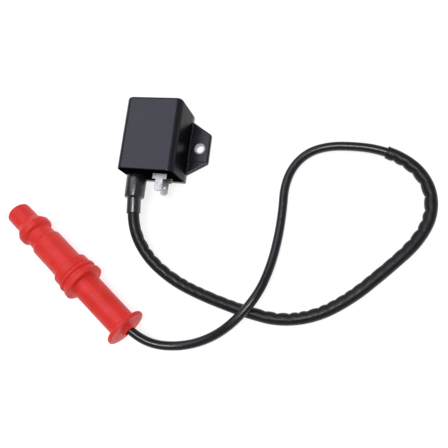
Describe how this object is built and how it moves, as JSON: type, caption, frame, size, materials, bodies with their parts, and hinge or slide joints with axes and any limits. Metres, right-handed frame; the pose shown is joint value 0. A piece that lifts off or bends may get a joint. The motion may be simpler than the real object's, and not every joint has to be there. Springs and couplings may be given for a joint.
{
  "type": "ignition coil",
  "caption": "Black potted ignition coil with two mounting ears, blade terminals, a sleeved high-tension lead and a long red ribbed spark plug cap.",
  "frame": {"origin": "midway between the two mounting holes, on the mounting face of the case", "axes": "+Z out of the mounting face towards the raised face of the case, X through the two mounting holes, +Y towards the closed end of the case; the lead tower and the terminals leave towards -Y, and the lead lies on the plane of the mounting face"},
  "size_m": [0.3364, 0.1929, 0.0365],
  "materials": {
    "case_plastic": "satin moulded glass-filled polyamide, black",
    "bush_steel": "zinc plated",
    "terminal_tin": "tinned brass, bright",
    "potting_resin": "cast epoxy, black",
    "core_steel": "varnished electrical steel sheet",
    "bobbin_plastic": "natural glass-filled polyester",
    "copper_wire": "enamelled copper",
    "contact_brass": "bare brass",
    "boot_rubber": "semi-gloss moulded rubber, black",
    "lead_rubber": "semi-gloss extruded rubber, black",
    "sleeve_rubber": "soft protective sleeving, black",
    "cap_silicone": "satin moulded silicone, red",
    "insulator_resin": "moulded phenolic, brown",
    "resistor_ceramic": "glazed ceramic",
    "spring_steel": "hard drawn steel wire"
  },
  "bodies": {
    "root": {"coil_case": "case_plastic", "mounting_bushes": "bush_steel", "potting_compound": "potting_resin", "primary_terminal": "terminal_tin", "ground_terminal": "terminal_tin", "core_e_laminations": "core_steel", "core_i_laminations": "core_steel", "primary_bobbin": "bobbin_plastic", "secondary_bobbin": "bobbin_plastic", "primary_winding": "copper_wire", "secondary_winding": "copper_wire", "primary_wire": "copper_wire", "ground_wire": "copper_wire", "secondary_ground_wire": "copper_wire", "high_voltage_link": "copper_wire", "lead_contact": "contact_brass", "tower_boot": "boot_rubber", "lead_conductor": "copper_wire", "lead_insulation": "lead_rubber", "lead_sleeve": "sleeve_rubber", "cap_boot": "cap_silicone", "cap_insulator": "insulator_resin", "plug_socket": "contact_brass", "plug_clip": "spring_steel", "cap_resistor": "resistor_ceramic", "resistor_end_caps": "contact_brass", "resistor_spring": "spring_steel", "contact_screw": "contact_brass"}
  },
  "joints": []
}
